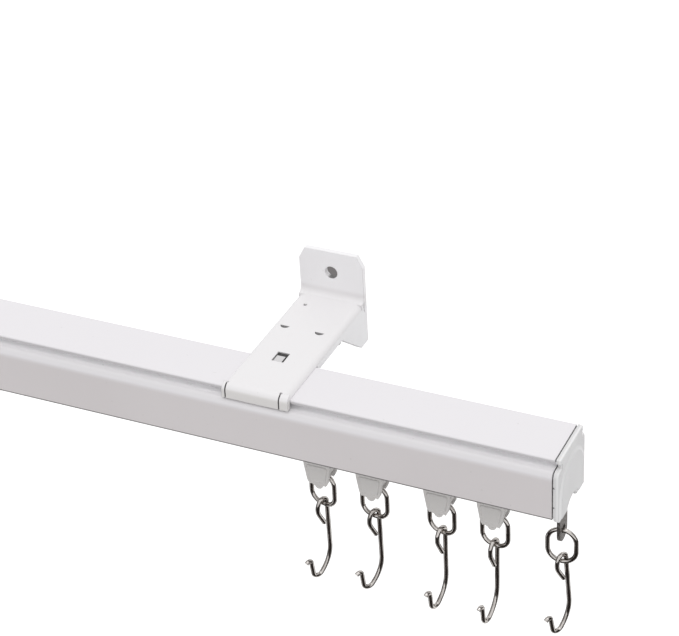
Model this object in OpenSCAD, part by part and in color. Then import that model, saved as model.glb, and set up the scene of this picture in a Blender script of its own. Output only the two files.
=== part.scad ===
/* [Rail] */
// Length of the rail between its cut ends
rail_len = 600; // [560:10:900]
// Width of the flat top plate over its two lips
top_w = 19; // [18:0.5:20.5]
// Width over the two side walls
rail_w = 24.2; // [23.6:0.2:27]
// Height from the top plate to the underside
rail_h = 20.3; // [19.8:0.1:23]
// Thickness of the side walls and shoulders
wall_t = 1.3; // [1.1:0.1:1.6]
// Thickness of the top plate and its lips
lip_t = 1.4; // [1.2:0.1:1.6]
// How far each lip stands out over its groove
lip_reach = 2.5; // [2.2:0.1:3]
// Height of the groove under each lip
groove_h = 1.8; // [1.7:0.1:2.4]
// Outer radius of the shoulders
shoulder_r = 2; // [1:0.1:2.4]
// Thickness of the two bottom flanges that carry the wheels
floor_t = 1.5; // [1.2:0.1:1.8]
// Width of the slot along the bottom
slot_w = 7; // [6.8:0.1:7.6]

/* [Brackets] */
// Distance from each rail end to the middle of its bracket
bracket_inset = 95.5; // [60:0.5:120]
// Width of a bracket
bracket_w = 22.2; // [20:0.2:26]
// Thickness of the bracket steel
sheet_t = 1.8; // [1.4:0.1:2]
// Distance from the wall to the middle of the rail
reach = 47.5; // [44:0.5:70]
// Height of the upturned wall plate above the top of the rail
plate_rise = 18.3; // [17:0.1:26]
// Height of the screw hole above the top of the rail
hole_rise = 10.8; // [9:0.1:13]
// Diameter of the screw hole
hole_d = 4.3; // [4:0.1:5.4]
// How far the gussets reach below the top of the rail at the wall
gusset_drop = 13.4; // [8:0.2:18]
// How far the sliding clamp draws back
clamp_travel = 2.2; // [1.8:0.1:3]

/* [End caps] */
// Thickness of the end cap's outer flange
cap_t = 1.9; // [1.6:0.1:2.6]
// How far the flange stands out past the rail all round
cap_rim = 0.1; // [0.1:0.1:0.4]
// How far the plug reaches into the rail
plug_len = 8; // [6:0.5:10]
// Thickness of the steel end tab
tab_t = 1; // [0.8:0.1:1.4]
// Width of the steel end tab
tab_w = 6.6; // [5.6:0.1:6.6]

/* [Runners] */
// Diameter of a runner's wheels
wheel_d = 10; // [8.5:0.1:10.4]
// Width of a wheel's tread
wheel_w = 3.2; // [2.4:0.1:3.4]
// Diameter of the wheel axle
axle_d = 2.4; // [1.8:0.1:3]
// Length of the lug where it leaves the slot
lug_top = 10; // [9:0.1:11]
// Length of the lug at its lower end
lug_low = 7; // [5.6:0.1:7]
// Thickness of the lug from front to back
lug_depth = 7; // [6.4:0.1:8]

/* [Rings and hooks] */
// Diameter of the ring and hook wire
wire_d = 1.45; // [1.3:0.05:1.6]
// Outer width of a ring
ring_w = 10.4; // [10.2:0.1:11.2]
// Outer height of a ring
ring_h = 13.3; // [13:0.1:16]
// Length of the straight part of a hook's shank
shank_len = 17.1; // [14:0.1:26]
// Inner width of the hook's mouth, set by the large sweep radius
sweep_r = 13; // [11:0.5:14]

/* [Hidden] */
$fn = 64;

// clearances
slide_gap = 0.1;
snug_gap = 0.01;
fit_gap = 0.05;
wire_gap = 0.05;
lip_gap = 0.25;
merge = 0.5;

// where the runners stand, how far the photographed rings and hooks are turned
runner_x = [-rail_len / 2 + 22.4, -rail_len / 2 + 43, rail_len / 2 - 80,
    rail_len / 2 - 62.3, rail_len / 2 - 39.8, rail_len / 2 - 22.4];
// right side forward, and how far the hooks lean in their own plane
ring_turn = [8, -7, -12, -7, -10, -8];
hook_turn = [66, 74, 63, 58, 71, 76];
hook_lean = [1, -1, 1, 1, 0, -1];
hook_shift = [0.3, 0, -0.45, -0.3, -0.2, -0.3];
end_ring_turn = 3;
end_hook_turn = 62;
end_hook_lean = 5;

// rail levels, measured down from the top plate
shoulder_z = -lip_t - groove_h;
floor_z = -rail_h + floor_t;
neck_half = top_w / 2 - lip_reach;
rib_h = 0.8;
rib_w = 0.8;
edge_r = 0.35;

joint_gap = 0.42;
cap_arch_r = 5.6;
arch_z = -rail_h - 4.1;
tab_x = 1;
tab_in = -tab_x - tab_t / 2 - slide_gap;

// runner levels
axle_z = floor_z + wheel_d / 2 + fit_gap;
wheel_in = slot_w / 2 + rib_w + 0.3;
wheel_out = wheel_in + wheel_w;
carrier_half = 2.85;
lug_z = -rail_h - 0.9;
lug_end = lug_z - 14;
lug_slot_half = 2.3;
ring_z = lug_z - 11.5;
bridge_r = 1.4;

// ring and hook shape
wire_r = wire_d / 2;
ring_corner = 3.8;
end_ring_corner = 4.4;
ring_half_w = ring_w / 2 - wire_r;
ring_half_h = ring_h / 2 - wire_r;
ring_split = 0.25;
hook_z = ring_z - 2 * ring_half_h;
arch_r = 1.55;
arch_lean = 27;
eye_side = 0.6;
belly_r = 5;
belly_turn = 52;
sweep_turn = 42;
bend_r = 2;
leg_len = 4.5;
curl_r = 1;
wire_pair = wire_d + wire_gap;
seam = 0.03;
bend_thin = 0.004;

// bracket and clamp levels
claw_y = -top_w / 2 - lip_gap;
claw_in_r = 0.5;
tongue_t = 1.2;
tongue_top = -lip_t - lip_gap;
tongue_low = tongue_top - tongue_t;
bend_in_r = 2;
plate_front = reach - sheet_t;
flange_start = top_w / 2 + 0.6;
flange_low = -1.9;
shift = -0.9;
lance_y = 24.9;
lance_x = 6;
clamp_t = 1.5;
clamp_front = top_w / 2 + slide_gap;
clamp_back = 32;
inner_half = bracket_w / 2 - sheet_t;
foot_slot = 0.36;
slot_at = 9.05;
bracket_x = rail_len / 2 - bracket_inset;

// Puts rail coordinates (top plate at 0, middle at 0) into the frame of the wall screws
module placed() translate([0, -reach, -hole_rise]) children();

// Extrudes a section drawn in the Y and Z plane along X, from x = a
module along_x(a, length) translate([a, 0, 0]) rotate([90, 0, 90])
    linear_extrude(height = length) children();

// Extrudes a shape drawn in the X and Z plane along Y, over y = -half to +half
module along_y(half) translate([0, half, 0]) rotate([90, 0, 0])
    linear_extrude(height = 2 * half) children();

// A box given by its lowest and highest corners
module span(low, high) translate(low) cube(high - low);

// A cylinder along Y between two y values
module rod_y(r, a, b, z = 0, x = 0) translate([x, b, z]) rotate([90, 0, 0])
    cylinder(r = r, h = b - a);

// A rectangle with its own corner radius at the top and at the bottom
module round_rect(low, high, r_top, r_low) {
    translate([low[0], low[1] + r_low]) square([high[0] - low[0], high[1] - low[1] - r_top - r_low]);
    translate([low[0] + r_low, low[1]]) square([high[0] - low[0] - 2 * r_low, r_low + 0.001]);
    translate([low[0] + r_top, high[1] - r_top - 0.001])
        square([high[0] - low[0] - 2 * r_top, r_top + 0.001]);
    for (x = [low[0] + r_top, high[0] - r_top]) translate([x, high[1] - r_top]) circle(r_top);
    for (x = [low[0] + r_low, high[0] - r_low]) translate([x, low[1] + r_low]) circle(r_low);
}

// Outer outline of the rail, grown by g all round
module rail_outline(g = 0) {
    round_rect([-top_w / 2 - g, -lip_t - g], [top_w / 2 + g, g], edge_r, edge_r);
    translate([-neck_half - g, shoulder_z - 1]) square([2 * (neck_half + g), groove_h + 2]);
    round_rect([-rail_w / 2 - g, -rail_h - g], [rail_w / 2 + g, shoulder_z + g], shoulder_r, 0.8);
}

// The hollow of the rail with its bottom slot
module rail_hollow() {
    inner = rail_w / 2 - wall_t;
    round_rect([-inner, floor_z], [inner, shoulder_z - wall_t], 0.8, 0.4);
    translate([-neck_half + wall_t, shoulder_z - wall_t - 1])
        square([2 * (neck_half - wall_t), groove_h + wall_t + 1]);
    translate([-slot_w / 2, -rail_h - 1]) square([slot_w, floor_t + 2]);
}

module rail() color([0.93, 0.93, 0.92]) placed() along_x(-rail_len / 2, rail_len) {
    difference() {
        rail_outline();
        rail_hollow();
    }
    // upstands along the slot that guide the wheels
    for (s = [-1, 1]) translate([s * (slot_w + rib_w) / 2 - rib_w / 2, floor_z - 0.2])
        square([rib_w, rib_h + 0.2]);
}

// Steps along a flat wire path: [length] runs straight, [radius, turn] bends, turn > 0 to the left
module wire(path, i = 0) {
    if (i < len(path)) {
        p = path[i];
        if (len(p) == 1) {
            translate([-seam, 0, 0]) rotate([0, 90, 0])
                cylinder(r = wire_r, h = p[0] + 2 * seam);
            translate([p[0], 0, 0]) wire(path, i + 1);
        } else {
            s = sign(p[1]);
            a = abs(p[1]);
            translate([0, s * p[0], 0]) rotate([0, 0, s > 0 ? -90 : 90 - a])
                rotate_extrude(angle = a) translate([p[0], 0])
                    circle(r = wire_r - bend_thin, $fn = 24);
            translate([p[0] * sin(a), s * p[0] * (1 - cos(a)), 0]) rotate([0, 0, p[1]])
                wire(path, i + 1);
        }
    }
}

// A ring bent from one wire, split in the middle of one side, hanging from its top run
module ring(x, turn, corner = ring_corner) color([0.62, 0.63, 0.65]) placed()
    translate([x, 0, ring_z]) rotate([90, 0, turn]) translate([0, -ring_half_h, 0]) {
        side = ring_half_h - corner;
        top = ring_half_w - corner;
        translate([ring_half_w, ring_split / 2, 0]) rotate([0, 0, 90]) wire([
            [side - ring_split / 2], [corner, 90], [2 * top], [corner, 90],
            [2 * side], [corner, 90], [2 * top], [corner, 90], [side - ring_split / 2]]);
    }

// Where the ring's wire sits inside the eye of a hook that is turned by this angle
function seat_u(turn) = wire_pair / sin(turn);
function seat_v(turn) =
    let (k = sin(turn) / sqrt(pow(cos(arch_lean), 2) + pow(sin(arch_lean) * sin(turn), 2)),
        px = arch_r * (1 + cos(arch_lean)), py = arch_r * sin(arch_lean))
    min(arch_r - wire_pair,
        py - (wire_pair / k - cos(arch_lean) * (px - seat_u(turn))) / sin(arch_lean));

// Length of the eye's closing run, which ends beside the shank
eye_close = let (d = belly_turn - arch_lean,
    x1 = arch_r * (1 + cos(arch_lean)) + eye_side * sin(arch_lean),
    x2 = x1 - belly_r * cos(arch_lean) + belly_r * cos(d))
    (x2 - wire_d - slide_gap) / sin(d);

// A hook bent flat from one wire: a long eye, a shank and a mouth with a curled tip
module hook(x, turn, lean, ring, shift = 0, side = 1) color([0.55, 0.56, 0.58]) placed()
    translate([x + shift * cos(ring), shift * sin(ring), hook_z])
    rotate([90, 0, side > 0 ? 180 + turn : -turn]) rotate([0, 0, -lean])
    translate([-seat_u(turn - side * ring), -seat_v(turn - side * ring), 0]) {
        rotate([0, 0, 90]) wire([[arch_r, arch_lean - 180], [eye_side],
            [belly_r, -belly_turn], [eye_close]]);
        rotate([0, 0, -90]) wire([[shank_len], [sweep_r, sweep_turn], [0.9],
            [bend_r, 132], [leg_len], [curl_r, -119], [0.5]]);
    }

// Outer shape of a lug seen from the front
module lug_front() {
    mid = (lug_top + lug_low) / 4;
    difference() {
        polygon([[-lug_top / 2, lug_z], [lug_top / 2, lug_z], [mid + 0.15, lug_z - 7],
            [lug_low / 2, lug_end + 1.6], [lug_low / 2 - 0.8, lug_end],
            [-lug_low / 2 + 0.8, lug_end], [-lug_low / 2, lug_end + 1.6],
            [-mid - 0.15, lug_z - 7]]);
        // shallow scallops either side of the bridge
        for (s = [-1, 1]) translate([s * 2.1, lug_end - 0.55]) circle(0.9);
    }
}

module carrier(x) color([0.86, 0.87, 0.88]) placed() translate([x, 0, 0]) difference() {
    union() {
        rod_y(4.1, -carrier_half, carrier_half, axle_z);
        span([-4.1, -carrier_half, lug_z - merge], [4.1, carrier_half, axle_z]);
        difference() {
            along_y(lug_depth / 2) lug_front();
            span([-lug_top, -lug_slot_half, lug_end - 1], [lug_top, lug_slot_half, ring_z + 2.4]);
        }
        // bridge that the ring hangs over, rounded above and below
        for (z = [ring_z - wire_r - fit_gap - bridge_r, lug_end - 0.3])
            rod_y(bridge_r, -lug_slot_half - merge, lug_slot_half + merge, z);
        span([-bridge_r, -lug_slot_half - merge, lug_end - 0.3],
            [bridge_r, lug_slot_half + merge, ring_z - wire_r - fit_gap - bridge_r]);
    }
    rod_y(axle_d / 2 + fit_gap, -lug_depth, lug_depth, axle_z);
}

module axle(x) color([0.6, 0.6, 0.62]) placed() translate([x, 0, 0]) {
    rod_y(axle_d / 2, -wheel_out - 0.2, wheel_out + 0.2, axle_z);
    for (s = [-1, 1]) rod_y(axle_d / 2 + 0.6, s * (wheel_out + 0.35) - 0.25,
        s * (wheel_out + 0.35) + 0.25, axle_z);
}

// side = -1 is the wheel towards the room, +1 the one towards the wall
module wheel(x, side) color([0.9, 0.9, 0.9]) placed() translate([x, 0, axle_z])
    rotate([side > 0 ? -90 : 90, 0, 0]) rotate_extrude() polygon([
        [axle_d / 2 + snug_gap, carrier_half + 0.15], [axle_d / 2 + 1, carrier_half + 0.15],
        [axle_d / 2 + 1, wheel_in], [wheel_d / 2 - 0.4, wheel_in], [wheel_d / 2, wheel_in + 0.4],
        [wheel_d / 2, wheel_out - 0.4], [wheel_d / 2 - 0.4, wheel_out],
        [wheel_d / 2 - 1, wheel_out], [wheel_d / 2 - 1.3, wheel_out - 0.8],
        [axle_d / 2 + 1.3, wheel_out - 0.8], [axle_d / 2 + 1, wheel_out],
        [axle_d / 2 + snug_gap, wheel_out]]);

// Shapes of the right-hand end, with x measured outwards from the rail's cut end
module cap_outline_head() {
    round_rect([-top_w / 2 - cap_rim, -lip_t - cap_rim], [top_w / 2 + cap_rim, cap_rim], edge_r,
        edge_r);
    translate([-neck_half - 1.2, shoulder_z - 3]) square([2 * (neck_half + 1.2), groove_h + 4]);
}

// Body of the flange, which swells below the rail round the arch
module cap_outline_body() {
    w = rail_w / 2 + cap_rim;
    round_rect([-w, -rail_h + 5], [w, shoulder_z + cap_rim], shoulder_r, 0.1);
    for (s = [0, 1]) mirror([s, 0]) polygon([[-0.5, -rail_h + 6], [w, -rail_h + 6],
        [w, -rail_h + 1.9], [w - 0.6, -rail_h - 0.3], [w - 2, -rail_h - 1.6],
        [w - 4.5, -rail_h - 2.1], [-0.5, -rail_h - 2.1]]);
}

// Rounds the outer edges of one part of the flange: r at its sides, r_z at its top and bottom
module cap_round(half, r, low, high, r_z) {
    face = cap_t + fit_gap;
    intersection() {
        children();
        translate([0, 0, -rail_h - 5]) linear_extrude(height = rail_h + 10) rotate(-90)
            round_rect([-half, fit_gap], [half, face], r, 0.05);
        along_y(rail_w) rotate(-90) round_rect([-high, -1], [-low, face], r_z, 0.1);
    }
}

// Post about X whose outer edge is rounded, for the flange's shoulders
module cap_post(big, r) rotate([0, 90, 0]) rotate_extrude() intersection() {
    square([big, cap_t + fit_gap]);
    union() {
        square([big, cap_t + fit_gap - r]);
        translate([big - r, cap_t + fit_gap - r]) circle(r);
    }
}

module cap_face() {
    w = rail_w / 2 + cap_rim;
    top = shoulder_z + cap_rim;
    r = cap_t - 0.35;
    // set back where it meets the rail, so that a dark joint line shows
    along_x(fit_gap, 0.6) rail_outline(-0.6);
    cap_round(top_w / 2 + cap_rim, 0.55, -rail_h, cap_rim, 0.7)
        along_x(fit_gap + joint_gap, cap_t - joint_gap) cap_outline_head();
    difference() {
        cap_round(w, r, -rail_h - 2.1, top, 1.3)
            along_x(fit_gap + joint_gap, cap_t - joint_gap) cap_outline_body();
        for (s = [0, 1]) mirror([0, s, 0]) translate([0, w - shoulder_r, top - shoulder_r])
            difference() {
                span([-1, 0, 0], [cap_t + 1, shoulder_r + 1, shoulder_r + 1]);
                cap_post(shoulder_r, r);
            }
    }
}

module cap_boss() {
    // raised field with a sloped edge and a round top
    face = cap_t + fit_gap;
    r = rail_w / 2 - 1.7;
    intersection() {
        union() {
            translate([face - 0.01, 0, -rail_h + 6.3]) rotate([0, 90, 0])
                cylinder(r1 = r, r2 = r - 0.9, h = 0.45);
            translate([0, 0, -rail_h - 0.4]) linear_extrude(height = 6.7)
                polygon([[face - 0.01, -r], [face + 0.44, -r + 0.9], [face + 0.44, r - 0.9],
                    [face - 0.01, r]]);
        }
        difference() {
            span([0, -rail_w, -rail_h - 0.4], [cap_t + 5, rail_w, 0]);
            translate([0, 0, arch_z]) rotate([0, 90, 0])
                cylinder(r = cap_arch_r + 0.9, h = cap_t + 6);
        }
    }
}

module end_cap(side) color([0.9, 0.9, 0.89]) placed() mirror([side > 0 ? 0 : 1, 0, 0])
    translate([rail_len / 2, 0, 0]) difference() {
        inner = rail_w / 2 - wall_t - slide_gap;
        top = shoulder_z - wall_t - slide_gap;
        low = floor_z + slide_gap;
        union() {
            cap_face();
            cap_boss();
            // plug with a cross wall that traps the head of the steel tab
            difference() {
                along_x(-plug_len, plug_len + merge) round_rect([-inner, low], [inner, top], 1, 0.5);
                span([-plug_len - 1, -inner + 1.5, low + 1.5],
                    [tab_in - 1.4, inner - 1.5, top - 1.5]);
                span([tab_in, -7, low + 1.5], [fit_gap, 7, top - 1.5]);
                span([-plug_len - 1, -slot_w / 2 - rib_w - slide_gap, low - 1],
                    [tab_in, slot_w / 2 + rib_w + slide_gap, low + rib_h]);
                span([tab_in, -slot_w / 2 - rib_w - slide_gap, low - 1],
                    [fit_gap, slot_w / 2 + rib_w + slide_gap, low + 1.6]);
            }
        }
        // arch that leaves the tab free
        translate([-0.2, 0, arch_z]) rotate([0, 90, 0]) cylinder(r = cap_arch_r, h = cap_t + 2);
        // two nicks in each side rim
        for (s = [-1, 1]) for (z = [shoulder_z - 5.1, -rail_h + 4.9])
            translate([-1, s * (rail_w / 2 + cap_rim) - 0.5, z - 0.35]) cube([2, 1, 0.7]);
    }

module end_tab(side) color([0.5, 0.5, 0.52]) placed() mirror([side > 0 ? 0 : 1, 0, 0])
    translate([rail_len / 2 - tab_x - tab_t / 2, 0, 0]) {
        low = floor_z + slide_gap + 1.5;
        hole_r = wire_r + 0.7;
        hole_z = ring_z - wire_r - fit_gap + hole_r;
        tip_z = hole_z - 0.8;
        difference() {
            union() {
                span([0, -6.5, low + 0.1], [tab_t, 6.5, low + 8.5]);
                span([0, -tab_w / 2, tip_z], [tab_t, tab_w / 2, low + merge]);
                translate([0, 0, tip_z]) rotate([0, 90, 0]) cylinder(r = tab_w / 2, h = tab_t);
            }
            translate([-1, 0, hole_z]) rotate([0, 90, 0]) cylinder(r = hole_r, h = tab_t + 2);
        }
    }

// Side view of the bracket steel, drawn in Y and Z
module claw_side() {
    intersection() {
        difference() {
            translate([claw_y + claw_in_r, -claw_in_r]) circle(claw_in_r + sheet_t);
            translate([claw_y + claw_in_r, -claw_in_r]) circle(claw_in_r);
        }
        translate([claw_y - sheet_t - 1, -claw_in_r])
            square([sheet_t + claw_in_r + 1, sheet_t + claw_in_r + 1]);
    }
    translate([claw_y - sheet_t, tongue_low]) square([sheet_t, -claw_in_r - tongue_low]);
}

module plate_side() {
    c = [plate_front - bend_in_r, sheet_t + bend_in_r];
    intersection() {
        difference() {
            translate(c) circle(bend_in_r + sheet_t);
            translate(c) circle(bend_in_r);
        }
        translate([c[0], c[1] - bend_in_r - sheet_t - 1])
            square([bend_in_r + sheet_t + 1, bend_in_r + sheet_t + 1]);
    }
    translate([plate_front, c[1]]) square([sheet_t, plate_rise - c[1]]);
}

// Half-moon opening with its flat side towards the wall
module half_moon() intersection() {
    translate([0, 0.25]) circle(1.6);
    translate([-3, -3]) square([6, 3]);
}

module bracket(x) color([0.95, 0.95, 0.94]) placed() translate([x, 0, 0]) difference() {
    half = bracket_w / 2;
    union() {
        // arm: a channel with soft upper edges
        intersection() {
            union() {
                span([-half, claw_y + claw_in_r, 0], [half, plate_front - bend_in_r, sheet_t]);
                for (s = [-1, 1]) along_x(s > 0 ? inner_half : -half, sheet_t) polygon([
                    [flange_start, 0.3], [flange_start, -0.7], [flange_start + 2, flange_low],
                    [plate_front - 17.4, flange_low], [plate_front - 3.4, -gusset_drop],
                    [plate_front + 0.1, -gusset_drop], [plate_front + 0.1, 0],
                    [plate_front - bend_in_r, 0.3]]);
            }
            translate([0, reach + 1, 0]) rotate([90, 0, 0]) linear_extrude(height = reach + 20)
                round_rect([-half, -gusset_drop - 1], [half, sheet_t], 2.1, 0.2);
        }
        // claw over the front lip, and the upturned wall plate
        along_x(-half, bracket_w) claw_side();
        along_x(shift - slot_at + foot_slot / 2, 2 * slot_at - foot_slot)
            translate([claw_y - sheet_t + 0.2, tongue_low]) square([sheet_t + 1.3, tongue_t]);
        difference() {
            along_x(-half, bracket_w) plate_side();
            for (s = [-1, 1]) translate([s * half, reach, plate_rise]) rotate([90, 0, 0])
                rotate([0, 0, s * 28]) cube([3.6, 8, 10], center = true);
        }
        // gusset edges turned in against the wall
        for (s = [-1, 1]) difference() {
            span([s > 0 ? inner_half - 3.5 : -half, plate_front, -gusset_drop],
                [s > 0 ? half : -inner_half + 3.5, reach, sheet_t + bend_in_r + merge]);
            translate([s * (inner_half - 3.5), reach, -gusset_drop]) rotate([90, 45, 0])
                cube([2.6, 2.6, 10], center = true);
            translate([0, plate_front - bend_in_r, sheet_t + bend_in_r]) rotate([0, 90, 0])
                cylinder(r = bend_in_r, h = 60, center = true);
        }
        // guides lanced out of the arm: a stem through the clamp's slot and a foot below it
        for (s = [-1, 1]) translate([shift + s * lance_x, lance_y, 0]) {
            span([-0.8, 0, -clamp_t - 2 * slide_gap - 0.5], [0.8, 0.9, 0.5]);
            span([-1.8, -0.6, -clamp_t - 2 * slide_gap - 0.9], [1.8, 1.5, -clamp_t - 2 * slide_gap]);
        }
    }
    // slots that part the claw from the two side feet
    for (s = [-1, 1]) translate([shift + s * slot_at, 0, 0]) {
        span([-foot_slot / 2, claw_y - 5, -5], [foot_slot / 2, claw_y + 0.4, 5]);
        translate([0, claw_y + 0.4, -5]) cylinder(r = foot_slot * 1.2, h = 10);
    }
    // short relief slots where the gussets meet the wall plate
    for (s = [-1, 1]) translate([s * half, plate_front, 0])
        span([-1, -0.4, -1.6], [1, 0.15, 1.6]);
    // screw hole
    rod_y(hole_d / 2, reach - 10, reach + 1, hole_rise);
    // square window over the rear lip round a tongue that springs from its front edge
    translate([shift / 2, 0, 0]) difference() {
        span([-2, 5.75, -1], [2, 10.85, sheet_t + 1]);
        span([-1.7, 5, -2], [1.2, 9.3, sheet_t - 0.35]);
    }
    // half moons and one pip
    for (s = [-1, 1]) translate([shift + s * lance_x, lance_y, -0.5])
        linear_extrude(height = sheet_t + 1) half_moon();
    translate([-6.2, 38.2, sheet_t - 0.6]) cylinder(r1 = 0.4, r2 = 0.7, h = 0.61, $fn = 24);
}

module clamp(x) color([0.8, 0.81, 0.82]) placed() translate([x, 0, 0]) {
    half = inner_half - 0.4;
    top = -slide_gap;
    low = top - clamp_t;
    difference() {
        span([-half, clamp_front, low], [half, clamp_back, top]);
        // slots for the lanced guides
        for (s = [-1, 1]) span([shift + s * lance_x - 1, lance_y - clamp_travel - 0.4, low - 1],
            [shift + s * lance_x + 1, lance_y + 1.2, top + 1]);
    }
    // jaw with its tongue under the rear lip
    span([-half, clamp_front, tongue_low], [half, clamp_front + 2, low + 0.1]);
    span([-half, top_w / 2 - 1.4, tongue_low], [half, clamp_front + merge, tongue_top]);
    // turned-down finger grip
    span([-half, clamp_back - clamp_t, low - 4], [half, clamp_back, low + 0.1]);
}

rail();
for (s = [-1, 1]) {
    e = s > 0 ? "right" : "left";
    end_cap(s);
    end_tab(s);
    ring(s * (rail_len / 2 - tab_x), s * end_ring_turn, end_ring_corner);
    hook(s * (rail_len / 2 - tab_x), end_hook_turn, end_hook_lean, s * end_ring_turn, 0, s);
    bracket(s * bracket_x);
    clamp(s * bracket_x);
}
for (k = [1 : 6]) {
    x = runner_x[k - 1];
    carrier(x);
    axle(x);
    wheel(x, -1);
    wheel(x, 1);
    ring(x, ring_turn[k - 1]);
    hook(x, hook_turn[k - 1], hook_lean[k - 1], ring_turn[k - 1], hook_shift[k - 1]);
}
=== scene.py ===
"""Looks of a wall-mounted curtain track: enamel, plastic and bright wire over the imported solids.

All sizes are in metres, in the frame of the two wall screws: X runs along the rail, -Y points
into the room and Z points up.
"""

from __future__ import annotations

import logging
import math
from dataclasses import dataclass, replace
from enum import Enum
from typing import Any, Mapping, Sequence

import bmesh
import bpy
from mathutils import Matrix, Vector


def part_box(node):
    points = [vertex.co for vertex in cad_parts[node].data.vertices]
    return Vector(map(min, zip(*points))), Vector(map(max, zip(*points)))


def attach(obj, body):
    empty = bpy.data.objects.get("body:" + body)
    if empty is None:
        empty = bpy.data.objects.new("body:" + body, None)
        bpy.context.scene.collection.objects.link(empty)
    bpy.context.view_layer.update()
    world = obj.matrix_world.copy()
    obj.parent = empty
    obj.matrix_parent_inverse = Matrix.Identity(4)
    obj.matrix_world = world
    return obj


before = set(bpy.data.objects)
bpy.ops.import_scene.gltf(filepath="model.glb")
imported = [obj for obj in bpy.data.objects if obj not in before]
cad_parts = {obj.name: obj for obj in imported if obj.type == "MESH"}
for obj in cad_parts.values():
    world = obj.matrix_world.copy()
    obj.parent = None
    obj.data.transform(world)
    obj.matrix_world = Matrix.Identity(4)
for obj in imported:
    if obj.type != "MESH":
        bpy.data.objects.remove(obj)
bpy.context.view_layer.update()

log = logging.getLogger("curtain_track")

Number = int | float
Span = tuple[float, float]
Place = tuple[float, float, float]
Colour = tuple[float, float, float]
RUNNER_COUNT = 6
WHITE = (1.0, 1.0, 1.0)
UNIT = (1.0, 1.0, 1.0)

# Places along X on a bracket, measured from its screw hole.
ARM_SHIFT = -0.00090
WINDOW_SHIFT = -0.00045
PIP_SHIFT = -0.00620

# How far the lances and the claw's slots lie from the arm's middle.
LANCE_OUT = 0.00600
SLOT_OUT = 0.00905

# How far the rounded normal bends, as 1 minus its cosine, where an edge begins and is full.
EDGE_BEND = (0.01, 0.2)

# How many straight steps a rounded corner of a pad's outline has.
CORNER_STEPS = 6

# From a pad's foot to its top: the share of its slope inwards and of its thickness outwards.
PAD_PROFILE = ((0.0, -0.4), (0.0, 0.0), (0.45, 0.6), (0.8, 0.92), (1.2, 1.0))


def scaled(tone: Colour, share: float) -> Colour:
    """A colour with each channel multiplied by a share, up to 1."""
    return tuple(min(1.0, channel * share) for channel in tone)


class Side(Enum):
    """Which end of the rail a part belongs to."""

    LEFT = "left"
    RIGHT = "right"

    @property
    def sign(self) -> int:
        """-1 at the left end, +1 at the right end."""
        return 1 if self is Side.RIGHT else -1


class Slot(Enum):
    """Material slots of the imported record."""

    RAIL = "rail_enamel"
    BRACKET = "bracket_enamel"
    CLAMP = "clamp_zinc"
    CAP = "cap_plastic"
    STEEL = "bare_steel"
    WIRE = "bright_wire"
    WHEEL = "wheel_plastic"
    RUNNER = "runner_plastic"


class Signal:
    """A number that varies over a surface, held as the socket that gives it.

    Arithmetic on signals adds the Math nodes for it, so a mask reads as a plain expression.
    """

    def __init__(self, sheet: "NodeSheet", socket: bpy.types.NodeSocket) -> None:
        """Wraps an output socket that gives one number, and the sheet that it is on."""
        self.sheet = sheet
        self.socket = socket

    def _math(self, operation: str, *values: "Signal | Number", clamp: bool = False) -> "Signal":
        """Adds one Math node.

        Args:
            operation: The node's operation.
            *values: Its inputs in order, signals or plain numbers.
            clamp: Whether the result is kept between 0 and 1.

        Returns:
            The node's result.
        """
        made = self.sheet.node(
            "ShaderNodeMath",
            {"operation": operation, "use_clamp": clamp},
            dict(enumerate(values)),
        )
        return Signal(self.sheet, made.outputs[0])

    def __add__(self, other: "Signal | Number") -> "Signal":
        """self + other."""
        return self._math("ADD", self, other)

    def __radd__(self, other: Number) -> "Signal":
        """other + self."""
        return self._math("ADD", other, self)

    def __sub__(self, other: "Signal | Number") -> "Signal":
        """self - other."""
        return self._math("SUBTRACT", self, other)

    def __rsub__(self, other: Number) -> "Signal":
        """other - self."""
        return self._math("SUBTRACT", other, self)

    def __mul__(self, other: "Signal | Number") -> "Signal":
        """self * other."""
        return self._math("MULTIPLY", self, other)

    def __rmul__(self, other: Number) -> "Signal":
        """other * self."""
        return self._math("MULTIPLY", other, self)

    def __abs__(self) -> "Signal":
        """The size of self without its sign."""
        return self._math("ABSOLUTE", self)

    def root(self) -> "Signal":
        """The square root of self."""
        return self._math("SQRT", self)

    def at_least(self, floor: float) -> "Signal":
        """self, or floor where self is lower."""
        return self._math("MAXIMUM", self, floor)

    def lower_of(self, other: "Signal") -> "Signal":
        """The lower of two signals."""
        return self._math("MINIMUM", self, other)

    def clamped(self) -> "Signal":
        """self, kept between 0 and 1."""
        return self._math("ADD", self, 0.0, clamp=True)

    def step(self, low: float, high: float) -> "Signal":
        """A smooth step.

        Args:
            low: The value of self at which the step starts from 0.
            high: The value of self at which it has reached 1.

        Returns:
            A signal from 0 to 1.
        """
        made = self.sheet.node(
            "ShaderNodeMapRange",
            {"interpolation_type": "SMOOTHSTEP"},
            {"Value": self, "From Min": low, "From Max": high},
        )
        return Signal(self.sheet, made.outputs["Result"])

    def band(self, rise: Span, fall: Span) -> "Signal":
        """1 between two spans of self, fading in over the first and out over the second."""
        return self.step(*rise) * (1.0 - self.step(*fall))


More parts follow.
